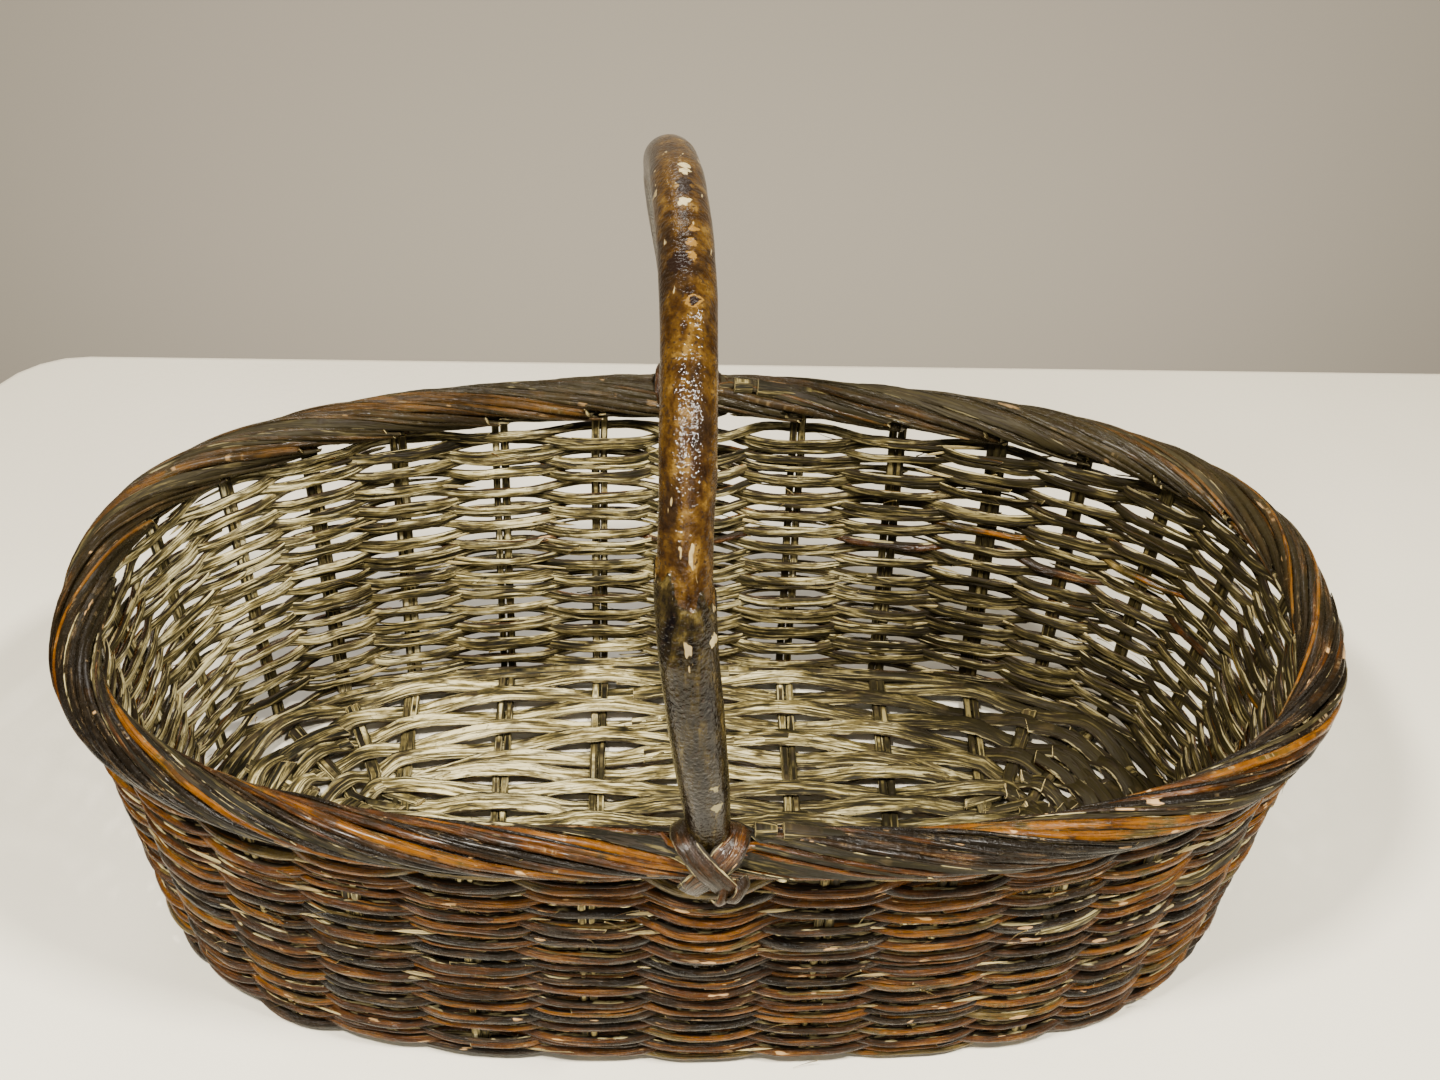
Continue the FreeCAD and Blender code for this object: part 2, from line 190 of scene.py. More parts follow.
def split_section():
    """Half-round rod: narrow bark crown outward, edges of pale split wood and painted shade, wide pale wood
    on the flat side.
    """
    rows = []
    crown = [(degrees, 1) for degrees in (34, 62, 90, 118, 146)]
    for degrees, bark in [(0, 0.25), (16, 0.25)] + crown + [(164, 0.25), (180, 0.25)]:
        turn = math.radians(degrees)
        across = math.cos(turn) * (1 - 0.20 * math.sin(turn))
        rows.append([across, -0.75 + 1.75 * math.sin(turn) ** 0.85, bark])
    rows += [[-0.80, -1.0, 0.0], [-0.1, -0.86, 0.0], [0.7, -1.0, 0.0]]
    return np.array(rows)


ROUND = round_section()
PEELED = round_section() * [1, 1, 0]
SPLIT = split_section()


class Bundle:
    """Rods gathered into one mesh, with what their material needs to know."""

    def __init__(self):
        self.points = []
        self.faces = []
        self.fibre = []
        self.skin = []
        self.count = 0

    def add_grid(self, rings, fibre, skin):
        """A tube with closed ends, given as rings of points."""
        count, corners = rings.shape[:2]
        first = self.count
        grid = first + np.arange(count * corners).reshape(count, corners)
        nxt = np.roll(grid, -1, axis=1)
        quads = np.stack([grid[:-1], nxt[:-1], nxt[1:], grid[1:]], axis=-1).reshape(-1, 4)
        self.faces += quads.tolist()
        self.faces.append(grid[0][::-1].tolist())
        self.faces.append(grid[-1].tolist())
        self.points.append(rings.reshape(-1, 3))
        self.fibre.append(fibre.reshape(-1, 3))
        self.skin.append(skin.reshape(-1, 3))
        self.count += count * corners

    def add_rod(self, path, outward, half_width, half_thick, section, tone, slant=0.0, pale=0.0,
                end=1.0):
        """One rod along a path, bark side outward.

        pale and end, from 0 to 1, bare the fresh wood of its length and of its two ends.
        """
        path = np.asarray(path, float)
        step = unit(np.diff(path, axis=0))
        path = np.vstack([path[0], path[0] + step[0] * 0.0005, path[1:-1],
                          path[-1] - step[-1] * 0.0005, path[-1]])
        count = len(path) - 2
        doubled = np.concatenate([[0, 0], np.arange(1, count - 1), [count - 1, count - 1]])
        outward = np.broadcast_to(outward, (count, 3))[doubled]
        half_width = np.broadcast_to(half_width, (count,))[doubled]
        half_thick = np.broadcast_to(half_thick, (count,))[doubled]
        tangent = unit(np.gradient(path, axis=0))
        tangent[0] = step[0]
        tangent[-1] = step[-1]
        across = unit(np.cross(tangent, outward))
        outward = np.cross(across, tangent)
        a = section[:, 0][None, :, None]
        b = section[:, 1][None, :, None]
        run = np.concatenate([[0], np.cumsum(np.linalg.norm(np.diff(path, axis=0), axis=1))])
        corner = rng.uniform(0, 6.28, len(section))
        rough = 1 + rng.normal(0, 0.06, len(section)) + 0.07 * np.sin(run[:, None] * 190 + corner[None])
        rough = (rough * (1 + 0.03 * np.sin(run[:, None] * 610 + 3 * corner[None])))[..., None]
        rings = (path[:, None] + across[:, None] * a * half_width[:, None, None] * rough
                 + outward[:, None] * b * half_thick[:, None, None] * rough)
        if slant:
            shift = slant * (section[:, 0] + 1)[:, None] * half_width[0]
            rings[:2] = rings[:2] + tangent[0] * shift[None]
            rings[-2:] = rings[-2:] - tangent[-1] * shift[None]
        girth = np.arange(len(section)) / len(section)
        shape = rings.shape[:2]
        seed = rng.uniform(0, 50)
        fibre = np.stack([np.broadcast_to(run[:, None], shape),
                          np.sin(girth * 6.283)[None] * half_width[:, None],
                          np.full(shape, seed)], axis=-1)
        cut = np.full(shape, pale)
        cut[0] = end
        cut[-1] = end
        skin = np.stack([np.broadcast_to(section[:, 2][None], shape),
                         np.full(shape, tone), cut], axis=-1)
        self.add_grid(rings, fibre, skin)

    def make(self, name, material, nodes, slot_name):
        """The finished piece, riding on the basket in place of its CAD nodes."""
        mesh = bpy.data.meshes.new(name)
        mesh.from_pydata(np.vstack(self.points).tolist(), [], self.faces)
        mesh.polygons.foreach_set("use_smooth", [True] * len(mesh.polygons))
        for label, data in (("fibre", self.fibre), ("skin", self.skin)):
            layer = mesh.attributes.new(label, "FLOAT_VECTOR", "POINT")
            layer.data.foreach_set("vector", np.vstack(data).astype(np.float32).ravel())
        mesh.materials.append(material)
        mesh.validate()
        mesh.update()
        piece = bpy.data.objects.new(name, mesh)
        bpy.context.scene.collection.objects.link(piece)
        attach(piece, "root")
        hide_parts(*nodes)


# ---------------------------------------------------------------- materials

class Graph:
    """Short ways to add shader nodes to one material."""

    def __init__(self, name):
        self.material = bpy.data.materials.new(name)
        self.material.use_nodes = True
        self.tree = self.material.node_tree
        self.shader = self.tree.nodes["Principled BSDF"]

    def new(self, kind, **settings):
        node = self.tree.nodes.new(kind)
        for key, value in settings.items():
            setattr(node, key, value)
        return node

    def link(self, source, target):
        if hasattr(source, "links"):
            self.tree.links.new(source, target)
        else:
            target.default_value = source

    def math(self, operation, first, second=0.0, clamp=False):
        node = self.new("ShaderNodeMath", operation=operation, use_clamp=clamp)
        self.link(first, node.inputs[0])
        self.link(second, node.inputs[1])
        return node.outputs[0]

    def between(self, value, low, high, start=0.0, end=1.0):
        """Value moved from one range to another and held inside it."""
        node = self.new("ShaderNodeMapRange")
        self.link(value, node.inputs["Value"])
        for label, number in (("From Min", low), ("From Max", high), ("To Min", start), ("To Max", end)):
            self.link(number, node.inputs[label])
        return node.outputs[0]

    def mix(self, share, first, second):
        """Blend of two colours."""
        node = self.new("ShaderNodeMix", data_type="RGBA")
        self.link(share, node.inputs[0])
        self.link(first, node.inputs[6])
        self.link(second, node.inputs[7])
        return node.outputs[2]

    def noise(self, vector, scale, detail=3.0, roughness=0.55):
        node = self.new("ShaderNodeTexNoise")
        self.link(vector, node.inputs["Vector"])
        for label, number in (("Scale", scale), ("Detail", detail), ("Roughness", roughness)):
            node.inputs[label].default_value = number
        return node.outputs["Fac"]

    def ramp(self, value, stops):
        """Colours met in turn as value goes from 0 to 1."""
        node = self.new("ShaderNodeValToRGB")
        self.link(value, node.inputs[0])
        elements = node.color_ramp.elements
        while len(elements) < len(stops):
            elements.new(0.5)
        for element, (place, colour) in zip(elements, stops):
            element.position = place
            element.color = (*colour, 1.0)
        return node.outputs[0]

    def split(self, label):
        """The three numbers stored on each point under a name."""
        node = self.new("ShaderNodeAttribute", attribute_name=label)
        parts = self.new("ShaderNodeSeparateXYZ")
        self.tree.links.new(node.outputs["Vector"], parts.inputs[0])
        return parts.outputs

    def join(self, x, y, z):
        node = self.new("ShaderNodeCombineXYZ")
        for value, target in zip((x, y, z), node.inputs):
            self.link(value, target)
        return node.outputs[0]

    def near(self, point, reach, blur):
        """1 close to a point of the object, 0 away from it, with a ragged outline."""
        node = self.new("ShaderNodeVectorMath", operation="DISTANCE")
        self.link(self.place(), node.inputs[0])
        node.inputs[1].default_value = point
        ragged = self.between(self.noise(self.place(), 320.0, 2.0), 0.3, 0.7, -0.0013, 0.0013)
        return self.between(self.math("ADD", node.outputs["Value"], ragged), reach, reach + blur, 1.0, 0.0)

    def place(self):
        """Place on the object, in metres."""
        return self.new("ShaderNodeTexCoord").outputs["Object"]

    def finish(self, colour, roughness, height, depth):
        self.link(colour, self.shader.inputs["Base Color"])
        self.link(roughness, self.shader.inputs["Roughness"])
        bump = self.new("ShaderNodeBump")
        bump.inputs["Strength"].default_value = 0.7
        bump.inputs["Distance"].default_value = depth
        self.link(height, bump.inputs["Height"])
        self.tree.links.new(bump.outputs[0], self.shader.inputs["Normal"])
        return self.material


BARK_STOPS = (
    (0.00, (0.006, 0.004, 0.002)),
    (0.20, (0.018, 0.009, 0.003)),
    (0.38, (0.044, 0.014, 0.002)),
    (0.55, (0.088, 0.029, 0.001)),
    (0.70, (0.158, 0.056, 0.002)),
    (0.84, (0.042, 0.028, 0.005)),
    (1.00, (0.120, 0.080, 0.018)),
)
WOOD_STOPS = (
    (0.00, (0.006, 0.005, 0.002)),
    (0.26, (0.034, 0.027, 0.009)),
    (0.50, (0.122, 0.093, 0.030)),
    (0.75, (0.335, 0.271, 0.112)),
    (1.00, (0.740, 0.645, 0.350)),
)


def willow(name, bark_shift=0.0, wood_shift=0.0, gloss=0.22, painted_side_light=0.20, shine=0.15,
           painted_back_shade=0.0, painted_end_shade=0.0):
    """Willow rod: varnished bark on one side and bare grey-cream wood on the other."""
    g = Graph(name)
    along, girth, seed = g.split("fibre")
    bark, tone, cut = g.split("skin")
    along_seed = g.math("ADD", along, seed)
    grain_place = g.join(g.math("MULTIPLY", along_seed, 30), g.math("MULTIPLY", girth, 1300), seed)
    blotch_place = g.join(g.math("MULTIPLY", along_seed, 34), g.math("MULTIPLY", girth, 150), seed)
    grain = g.noise(grain_place, 1.0, 4.0, 0.7)
    blotch = g.noise(blotch_place, 1.0, 4.0, 0.6)
    cracks = g.noise(grain_place, 0.62, 2.0)
    fleck = g.noise(g.place(), 430.0, 2.0)
    drift = g.noise(g.place(), 10.0, 3.0)
    x_place = g.new("ShaderNodeSeparateXYZ")
    g.link(g.place(), x_place.inputs[0])
    # Painted light and shade: bare wood lighter towards the left end of the basket, darker towards the right
    fade = g.between(x_place.outputs[0], -0.30, 0.30, painted_side_light, -painted_side_light)
    # Painted shade: bare wood darker near both ends, in the corners under the end walls
    at_end = g.between(g.math("ABSOLUTE", x_place.outputs[0]), 0.15, 0.22, 0.0, -painted_end_shade)
    fade = g.math("ADD", fade, at_end)
    crack = g.between(g.math("ABSOLUTE", g.math("SUBTRACT", cracks, 0.5)), 0.012, 0.034, 1.0, 0.0)
    scratch = g.between(g.math("ABSOLUTE", g.math("SUBTRACT", grain, 0.56)), 0.004, 0.014, 1.0, 0.0)

    bark_value = g.math("ADD", tone, g.between(blotch, 0.32, 0.68, -0.26, 0.26))
    fine_bark = g.between(grain, 0.28, 0.72, -0.13 + bark_shift, 0.13 + bark_shift)
    bark_value = g.math("ADD", bark_value, fine_bark, True)
    bark_colour = g.ramp(bark_value, BARK_STOPS)
    chips = g.between(g.noise(blotch_place, 1.6, 2.0), 0.69, 0.71)
    bark_colour = g.mix(g.math("MULTIPLY", chips, 0.9), bark_colour, (0.52, 0.31, 0.13, 1))
    worn = g.math("MULTIPLY", scratch, g.between(blotch, 0.50, 0.60, 0.0, 0.55))
    bark_colour = g.mix(worn, bark_colour, (0.36, 0.25, 0.12, 1))

    wood_value = g.math("ADD", g.between(grain, 0.39, 0.61, -0.05 + wood_shift, 0.92 + wood_shift), fade)
    wood_value = g.math("ADD", wood_value, g.between(drift, 0.35, 0.65, -0.20, 0.20))
    wood_value = g.math("ADD", wood_value, g.between(tone, 0.0, 1.0, -0.16, 0.16), True)
    wood_colour = g.ramp(wood_value, WOOD_STOPS)
    stain = g.between(blotch, 0.60, 0.66, 0.0, 0.6)
    wood_colour = g.mix(stain, wood_colour, (0.055, 0.038, 0.016, 1))

    in_shade = g.between(x_place.outputs[0], -0.05, 0.30, 0.0, 0.36)
    wood_colour = g.mix(in_shade, wood_colour, (0.036, 0.025, 0.004, 1))
    on_bark = g.between(g.math("ADD", bark, g.between(blotch, 0.3, 0.7, -0.40, 0.35)), 0.50, 0.60)
    # Edges beside the bark: pale split wood in patches, painted shade in the crease elsewhere
    pale_edge = g.between(g.noise(blotch_place, 1.7, 3.0), 0.53, 0.58)
    edge_wood_and_shade = g.mix(pale_edge, (0.020, 0.013, 0.005, 1), (0.46, 0.38, 0.18, 1))
    wood_colour = g.mix(g.between(bark, 0.10, 0.22), wood_colour, edge_wood_and_shade)
    colour = g.mix(on_bark, wood_colour, bark_colour)
    # Painted shade: colour darker towards the back of the basket (+Y)
    shade_at_back = g.between(x_place.outputs[1], -0.06, 0.10, 0.0, painted_back_shade)
    colour = g.mix(shade_at_back, colour, (0.034, 0.026, 0.010, 1))
    colour = g.mix(g.between(cut, 0.3, 0.7), colour, (0.46, 0.36, 0.16, 1))
    colour = g.mix(g.math("MULTIPLY", crack, 0.75), colour, (0.016, 0.011, 0.006, 1))
    colour = g.mix(g.between(fleck, 0.62, 0.70, 0.0, 0.55), colour, (0.022, 0.016, 0.009, 1))
    roughness = g.between(on_bark, 0.0, 1.0, 0.58, gloss)
    roughness = g.math("ADD", roughness, g.between(fleck, 0.3, 0.7, -0.06, 0.12))
    g.shader.inputs["Specular IOR Level"].default_value = shine
    height = g.math("ADD", grain, g.math("MULTIPLY", blotch, 0.8))
    height = g.math("SUBTRACT", height, g.math("MULTIPLY", crack, 0.5))
    return g.finish(colour, roughness, height, 0.0009)


CREAM = (0.44, 0.35, 0.17, 1)
TAN = (0.175, 0.092, 0.018, 1)
DARK = (0.010, 0.005, 0.003, 1)
LICHEN = (0.24, 0.20, 0.09, 1)
# Chips and one knot in the handle's varnish: degrees round the arch from level at
# the front, degrees round the rod from its outer side towards +X, reach and colour
HANDLE_CHIPS = (
    (104, 10, 0.0024, CREAM),
    (102, 10, 0.0026, CREAM),
    (98, 5, 0.0040, DARK),
    (96, 5, 0.0040, DARK),
    (92, 0, 0.0028, CREAM),
    (85, 15, 0.0022, TAN),
    (82, 10, 0.0024, TAN),
    (79, 5, 0.0024, TAN),
    (78, -20, 0.0052, DARK),
    (70, 10, 0.0034, TAN),
    (70, 10, 0.0018, DARK),
    (20, 65, 0.0026, CREAM),
    (-6, 30, 0.0018, LICHEN),
    (-10, 30, 0.0023, LICHEN),
)


def handle_surface(arch, turn):
    """Point on the handle's surface, at angles round the arch and round the rod."""
    line = smooth_path(bow_points(), 560)
    angles = np.unwrap(np.arctan2(line[:, 2] - ARCH_MIDDLE_Z, -line[:, 1]))
    arch = math.radians(arch)
    turn = math.radians(turn)
    centre = np.array([np.interp(arch, angles, line[:, axis]) for axis in range(3)])
    outer = np.array([0, -math.cos(arch), math.sin(arch)])
    radius = sleeve_radius(centre[2]) if centre[2] < SLEEVE_TOP else leg_radius(centre[2])
    turned = math.cos(turn) * outer + math.sin(turn) * np.array([1.0, 0, 0])
    return (centre + radius * turned).tolist()


def bow_bark(name):
    """Handle rod: amber varnished bark above, dark mottled bark on the lower front leg."""
    g = Graph(name)
    sleeve = g.split("skin")[0]
    place = g.place()
    stretched = g.new("ShaderNodeMapping")
    g.link(place, stretched.inputs["Vector"])
    stretched.inputs["Scale"].default_value = (1.0, 0.30, 0.30)
    patches = g.noise(stretched.outputs[0], 46.0, 4.0, 0.62)
    mottle = g.noise(place, 120.0, 4.0, 0.66)
    specks = g.noise(place, 560.0, 2.0)
    pebbles = g.noise(place, 560.0, 2.0, 0.4)
    streaks = g.noise(stretched.outputs[0], 260.0, 3.0)
    fine_amber = g.between(streaks, 0.3, 0.7, 0.0, 0.4)
    amber = g.ramp(g.math("ADD", g.between(mottle, 0.33, 0.67, 0.0, 0.6), fine_amber), (
        (0.08, (0.010, 0.004, 0.001)),
        (0.36, (0.028, 0.012, 0.002)),
        (0.64, (0.062, 0.030, 0.004)),
        (0.95, (0.150, 0.086, 0.018)),
    ))
    dark = g.ramp(mottle, (
        (0.30, (0.004, 0.002, 0.001)),
        (0.52, (0.016, 0.008, 0.003)),
        (0.75, (0.048, 0.024, 0.008)),
    ))
    upper = g.mix(g.between(patches, 0.53, 0.60, 0.0, 0.9), amber, dark)
    drawn_out = g.new("ShaderNodeMapping")
    g.link(place, drawn_out.inputs["Vector"])
    drawn_out.inputs["Scale"].default_value = (1.0, 1.0, 0.16)
    bark_lines = g.math("ADD", g.math("MULTIPLY", g.noise(drawn_out.outputs[0], 190.0, 4.0, 0.65), 0.7),
                        g.math("MULTIPLY", mottle, 0.3))
    lower = g.ramp(bark_lines, (
        (0.38, (0.002, 0.001, 0.001)),
        (0.48, (0.009, 0.006, 0.002)),
        (0.56, (0.024, 0.016, 0.004)),
        (0.66, (0.088, 0.062, 0.016)),
    ))
    colour = g.mix(g.between(sleeve, 0.4, 0.6), upper, lower)
    colour = g.mix(g.between(specks, 0.58, 0.66, 0.0, 0.85), colour, (0.016, 0.009, 0.005, 1))
    pale = g.between(g.noise(stretched.outputs[0], 210.0, 2.0), 0.70, 0.72)
    colour = g.mix(g.math("MULTIPLY", pale, 0.7), colour, (0.40, 0.30, 0.14, 1))
    for arch, turn, reach, patch in HANDLE_CHIPS:
        chip = g.near(handle_surface(arch, turn), reach, 0.0006)
        colour = g.mix(chip, colour, patch)
    roughness = g.between(mottle, 0.3, 0.7, 0.10, 0.20)
    g.shader.inputs["Specular IOR Level"].default_value = 0.22
    height = g.math("ADD", g.math("MULTIPLY", mottle, 0.6), g.math("MULTIPLY", pebbles, 0.7))
    return g.finish(colour, roughness, height, 0.0013)


# ---------------------------------------------------------------- side weave

def leg_radius(z):
    """Radius of a handle leg at a height, without its sleeve."""
    return np.interp(z, [row[0] for row in BOW_RADII], [row[1] for row in BOW_RADII])


def sleeve_radius(z):
    """Radius of the front leg at a height, with its bark sleeve."""
    return np.interp(z, [row[0] for row in SLEEVE_RADII], [row[1] for row in SLEEVE_RADII])


def swing_at(stake, z):
    """How far a row passes to either side of the wall's middle."""
    half = STAKE_COUNT / 2
    from_leg = np.mod(stake + half / 2, half) - half / 2
    at_leg = leg_radius(z) if z > BOW_FOOT_Z else 0.003
    extra = max(0.0, at_leg + 0.0012 - 0.003)
    return SWING + extra * np.exp(-(from_leg / 0.45) ** 2)


def bark_tone(shares=(0.10, 0.20, 0.24, 0.24, 0.14, 0.08)):
    """Random bark colour of one rod: black, dark, red-brown, rust, orange or olive."""
    return float(rng.choice([0.08, 0.22, 0.38, 0.54, 0.68, 0.86], p=shares) + rng.uniform(-0.06, 0.06))


def row_stretch(bundle, row, start, length, lift, half_width, taper=0.62, push=0.0, flips=0.0,
                swing=1.0):
    """One rod of the side weave, from one stake position over a length in stakes."""
    z = ROW_BOTTOM + (row + 0.5) * THIN_ROW_PITCH
    side = 1.0 if row % 2 == 0 else -1.0
    count = max(8, int(length * 14))
    stake = np.linspace(start, start + length, count)
    share = np.linspace(0, 1, count)
    bend = np.sin(math.pi / 2 * np.cos(math.pi * stake))
    middle = wall_point(stake, z)
    normal = wall_normal(stake, z)
    offset = side * bend * swing * swing_at(stake, z) * (1 + wander(stake, 0.18))
    offset = offset + push + wander(stake, 0.0004)
    path = middle + normal * offset[:, None]
    rise = wander(stake, 0.0021, shortest=0.7)
    ends = np.exp(-share * length / 0.9) - np.exp(-(1 - share) * length / 0.9)
    path[:, 2] += rise + lift - 0.0014 * ends
    twist = wander(stake, 0.16) + 0.12 * side * bend
    outward = normal * np.cos(twist)[:, None] + UP * np.sin(twist)[:, None]
    width = half_width * (1 - (1 - taper) * share) * (1 + wander(stake, 0.15, shortest=0.7))
    width = width * np.clip(0.62 + share * length / 1.6, 0, 1)
    width = width * np.clip(0.45 + (1 - share) * length / 1.6, 0, 1)
    tone = bark_tone()
    if rng.random() < flips:
        outward = -outward
    path[:, 2] = np.maximum(path[:, 2], width + 0.0005)
    thick = np.minimum(width * 0.66, 0.0022)
    bundle.add_rod(path, outward, width, thick, SPLIT, tone, slant=rng.uniform(0.2, 1.6))


def weave_row(bundle, row, girth=1.0, swing=0.84, drop=0.0):
    """All the rods of one row, end to end with short overlaps, and thin rods between."""
    start = rng.uniform(0, STAKE_COUNT)
    place = start
    settle = rng.uniform(-0.0009, 0.0009) - drop
    while place < start + STAKE_COUNT - 0.1:
        length = min(rng.uniform(6.5, 11.0), start + STAKE_COUNT - place)
        if start + STAKE_COUNT - place - length < 3.0:
            length = start + STAKE_COUNT - place
        row_stretch(bundle, row, place, length + rng.uniform(0.7, 1.5),
                    settle + rng.uniform(-0.0004, 0.0004), girth * rng.uniform(0.0027, 0.0039),
                    taper=0.80, flips=0.006, swing=swing)
        place += length
    for crossing in range(STAKE_COUNT):
        if rng.random() < 0.34:
            sliver(bundle, row, crossing + 0.5 + rng.uniform(-0.12, 0.12))
    for _ in range(rng.integers(10, 15)):
        row_stretch(bundle, row, rng.uniform(0, STAKE_COUNT), rng.uniform(1.2, 6.0),
                    rng.choice([-1, 1]) * rng.uniform(0.0022, 0.0040), rng.uniform(0.0011, 0.0022),
                    push=rng.uniform(-0.0020, 0.0004), swing=swing)


def sliver(bundle, row, stake):
    """Pale split edge showing where a rod dives between two stakes."""
    z = ROW_BOTTOM + (row + 0.5) * THIN_ROW_PITCH + rng.uniform(-0.0020, 0.0020)
    reach = rng.uniform(0.10, 0.30)
    run = np.linspace(stake - reach, stake + reach, 9)
    slope = rng.choice([-1, 1]) * rng.uniform(0.5, 1.0)
    offset = rng.choice([-1, 1]) * rng.uniform(0.0012, 0.0034) + slope * np.linspace(-0.0018, 0.0018, 9)
    path = wall_point(run, z) + wall_normal(run, z) * offset[:, None]
    path[:, 2] += slope * np.linspace(-0.0012, 0.0012, 9)
    width = rng.uniform(0.0006, 0.0013) * np.sin(np.linspace(0.15, math.pi - 0.15, 9))
    bundle.add_rod(path, wall_normal(run, z), width, width * 0.6, SPLIT, rng.uniform(0.5, 1.0),
                   pale=rng.uniform(0.46, 0.75))


def splinters(bundle, count, z_low, z_high):
    """Fine torn fibres and hairs standing off the weave."""
    for _ in range(count):
        stake = rng.uniform(0, STAKE_COUNT)
        z = rng.uniform(z_low, z_high)
        normal = wall_normal(stake, z)
        side = rng.choice([-1, 1])
        start = wall_point(stake, z) + normal * side * 0.0058
        along = unit(wall_point(stake + 0.1, z) - wall_point(stake, z)) * rng.choice([-1, 1])
        reach = rng.uniform(0.004, 0.016)
        t = np.linspace(0, 1, 6)[:, None]
        path = (start + along * reach * t + normal * side * (0.0008 + 0.0045 * rng.random()) * t ** 2
                + UP * rng.uniform(-0.5, 0.5) * reach * t)
        width = rng.uniform(0.00022, 0.0006) * (1 - 0.8 * t[:, 0])
        bundle.add_rod(path, normal * side, width, width * 0.5, SPLIT, 0.95)


def make_side_weave(material):
    """Nine pieces of three rows each."""
    for piece in range(CAD_ROWS):
        bundle = Bundle()
        for row in range(piece * RODS_PER_ROW, (piece + 1) * RODS_PER_ROW):
            weave_row(bundle, row)
        step = (ROW_TOP - ROW_BOTTOM) / CAD_ROWS
        splinters(bundle, 34, ROW_BOTTOM + piece * step, ROW_BOTTOM + (piece + 1) * step)
        label = "weave_row_%02d" % (piece + 1)
        bundle.make(label + "_rods", material, [label], "split_willow")


def make_foot(material):
    """Two thicker rows round the bottom edge."""
    bundle = Bundle()
    for row in (-2, -1):
        weave_row(bundle, row, girth=1.12, swing=0.60, drop=0.0020)
    splinters(bundle, 14, 0.004, 0.014)
    bundle.make("foot_wale_rods", material, ["foot_wale"], "split_willow")


def make_stakes(material):
    """Pairs of upright rods, in four groups."""
    groups = {
        "stakes_front": [27, 28, 29, 0, 1, 2, 3],
        "stakes_right_end": list(range(4, 12)),
        "stakes_back": [12, 13, 14, 15, 16, 17, 18],
        "stakes_left_end": list(range(19, 27)),
    }
    for name, stakes in groups.items():
        bundle = Bundle()
        for stake in stakes:
            rods = (-1.0, 1.0)
            if stake == 12:
                rods = (-1.7, 0.0, 1.7)
            for side in rods:
                z = np.linspace(0.006, 0.196, 14)
                shift = side * rng.uniform(0.038, 0.046) + wander(z * 100, 0.004)
                normal = wall_normal(stake, 0.1)
                path = wall_point(stake + shift, z) + normal * wander(z * 60, 0.0003)[:, None]
                bundle.add_rod(path, normal * rng.choice([-1, 1]), rng.uniform(0.0021, 0.0026),
                               rng.uniform(0.0018, 0.0023), PEELED, rng.uniform(0.2, 0.9))
        bundle.make(name + "_rods", material, [name], "stake_willow")


# ---------------------------------------------------------------- border

def border_centre(stake):
    """Centre line of the rolled border."""
    half = STAKE_COUNT / 2
    offset = np.mod(stake + half / 2, half) - half / 2
    centre = wall_point(stake, RIM_TOP - BORDER_RADIUS)
    centre[..., 2] = RIM_TOP - BORDER_RADIUS - BORDER_LIFT * (1 - np.exp(-(offset / 1.6) ** 2))
    return centre


def clear_of_legs(path, normal, room):
    """Path bent to pass either side of the handle legs."""
    path = path.copy()
    for foot_x, foot_y in ((BOW_FRONT_X, -1.0), (BOW_BACK_X, 1.0)):
        foot = np.array([foot_x, foot_y * (RIM_WIDTH / 2 - BORDER_RADIUS), 0])
        gap = (path - foot) * [1, 1, 0]
        off = np.sum(gap * normal, axis=1)
        needed = room * np.exp(-((path[:, 0] - foot_x) / 0.017) ** 2) * (np.sign(path[:, 1]) == foot_y)
        side = np.where(off >= 0, 1.0, -1.0)
        path += normal * (side * np.maximum(0, needed - np.abs(off)))[:, None]
    return path


def border_rod(bundle, strand, shift, radius, core, length):
    """One rod laid round the rope of the border."""
    count = int(length * 15)
    stake = np.linspace(strand, strand + length, count) + shift * 0.3
    share = np.linspace(0, 1, count)
    turn = 2 * math.pi * (stake - strand) / 6 - 0.6 + shift + wander(stake, 0.10, shortest=0.9)
    reach = core + wander(stake, 0.0006)
    normal = wall_normal(stake, RIM_TOP - BORDER_RADIUS)
    radial = -normal * np.cos(turn)[:, None] + UP * np.sin(turn)[:, None]
    path = border_centre(stake) + radial * reach[:, None]
    path = clear_of_legs(path, normal, 0.0098 + radius)
    half_width = radius * (1.08 - 0.30 * share) * (1 + wander(stake, 0.08, shortest=0.7))
    half_width = half_width * np.clip(0.5 + (1 - share) * length / 1.2, 0, 1)
    twist = wander(stake, 0.35)
    face = radial * np.cos(twist)[:, None] + np.cross(radial, normal) * np.sin(twist)[:, None]
    tone = bark_tone((0.16, 0.27, 0.21, 0.14, 0.06, 0.16))
    if rng.random() < 0.55:
        flip = -1 if rng.random() < 0.3 else 1
        bundle.add_rod(path, face * flip, half_width * 1.2, half_width * 0.72, SPLIT, tone, slant=1.2)
    else:
        bundle.add_rod(path, face, half_width, half_width * rng.uniform(0.8, 0.98), ROUND, tone, slant=0.8)


